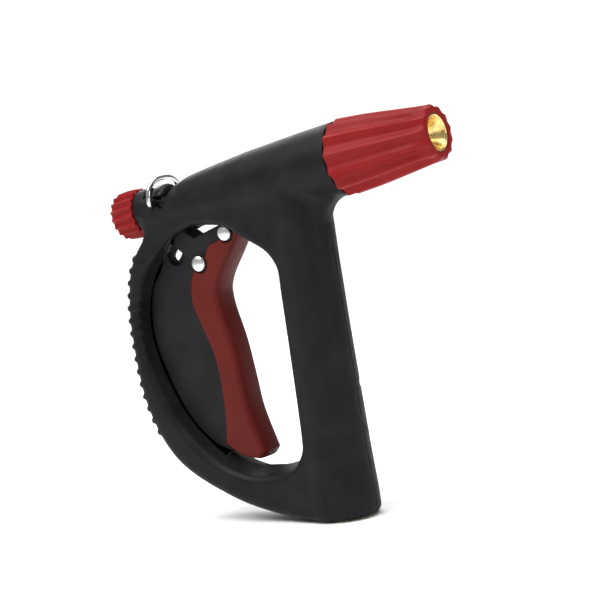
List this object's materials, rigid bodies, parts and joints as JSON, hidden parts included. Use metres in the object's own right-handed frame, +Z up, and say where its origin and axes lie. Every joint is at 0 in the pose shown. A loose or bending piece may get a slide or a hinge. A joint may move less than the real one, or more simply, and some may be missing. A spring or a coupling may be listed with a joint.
{
  "type": "hose nozzle",
  "caption": "D-handle hose nozzle with a rear-grip trigger, a ribbed twist tip with a brass outlet, a ribbed flow knob, a wire bail and a threaded hose inlet in the column.",
  "frame": {"origin": "centre of the column's bottom rim, where the hose enters", "axes": "+Z up the hose column, +X the way the water leaves (the barrel rises 6 degrees towards it), Y across the handle with Y = 0 where its two shells meet"},
  "size_m": [0.1966, 0.0382, 0.1972],
  "materials": {
    "shell_black": "fine matte moulded",
    "lever_black": "satin moulded",
    "yoke_black": "glossy",
    "tip_red": "satin, softly grained",
    "grip_red": "matte",
    "brass": "turned, bright",
    "cast_zinc": "as cast",
    "steel": "polished heads",
    "chrome": "plated wire",
    "rubber": "plain"
  },
  "bodies": {
    "handle": {"shell_right": "shell_black", "shell_left": "shell_black", "shell_screw_1": "steel", "shell_screw_2": "steel", "shell_screw_3": "steel", "shell_screw_4": "steel", "shell_screw_5": "steel", "shell_screw_6": "steel", "water_body": "cast_zinc", "inlet_socket": "brass", "hose_washer": "rubber", "inlet_screen": "steel", "tube_o_ring": "rubber", "packing_ring": "rubber", "packing_nut": "brass", "stem_spring": "steel", "pivot_rivet": "steel", "tip_o_ring": "rubber"},
    "trigger": {"trigger_lever": "lever_black", "trigger_grip": "grip_red", "link_rivet": "steel"},
    "link": {"pull_link": "lever_black"},
    "stem": {"valve_stem": "brass", "valve_seal": "rubber", "stem_yoke": "yoke_black", "stem_clip": "steel", "yoke_pin": "steel"},
    "tip": {"twist_tip": "tip_red"},
    "nozzle": {"brass_nozzle": "brass"},
    "knob": {"flow_knob": "tip_red", "knob_screw": "brass"},
    "bail": {"bail_wire": "chrome"}
  },
  "joints": [
    {"name": "trigger_pull", "type": "hinge", "parent": "handle", "child": "trigger", "pos_m": [-0.0432, 0, 0.1488], "axis": [0, 1, 0], "range_deg": [0, 5.5], "stiffness_Nm_per_rad": 10, "springref_deg": -2.86},
    {"name": "link_swing", "type": "hinge", "parent": "trigger", "child": "link", "pos_m": [-0.0621, 0, 0.1347], "axis": [0, 1, 0], "range_deg": [-11.4, 0]},
    {"name": "stem_slide", "type": "slide", "parent": "handle", "child": "stem", "axis": [-0.9945, 0, -0.1045], "range_m": [0, 0.00377], "deforming": ["stem_spring"]},
    {"name": "tip_turn", "type": "hinge", "parent": "handle", "child": "tip", "pos_m": [0.04973, 0, 0.17993], "axis": [0.9945, 0, 0.1045], "range_deg": [0, 360]},
    {"name": "nozzle_slide", "type": "slide", "parent": "handle", "child": "nozzle", "axis": [0.9945, 0, 0.1045], "range_m": [-0.002, 0]},
    {"name": "knob_turn", "type": "hinge", "parent": "handle", "child": "knob", "pos_m": [-0.10443, 0, 0.16373], "axis": [0.9945, 0, 0.1045], "range_deg": [0, 360]},
    {"name": "bail_swing", "type": "hinge", "parent": "handle", "child": "bail", "pos_m": [-0.0842, 0, 0.16746], "axis": [0, 1, 0], "range_deg": [-40, 20]}
  ],
  "couplings": [
    {"joint": "link_swing", "follows": "trigger_pull", "ratio": -2.0714},
    {"joint": "stem_slide", "follows": "trigger_pull", "m_per_rad": 0.03925},
    {"joint": "nozzle_slide", "follows": "tip_turn", "m_per_rad": -0.000318}
  ]
}
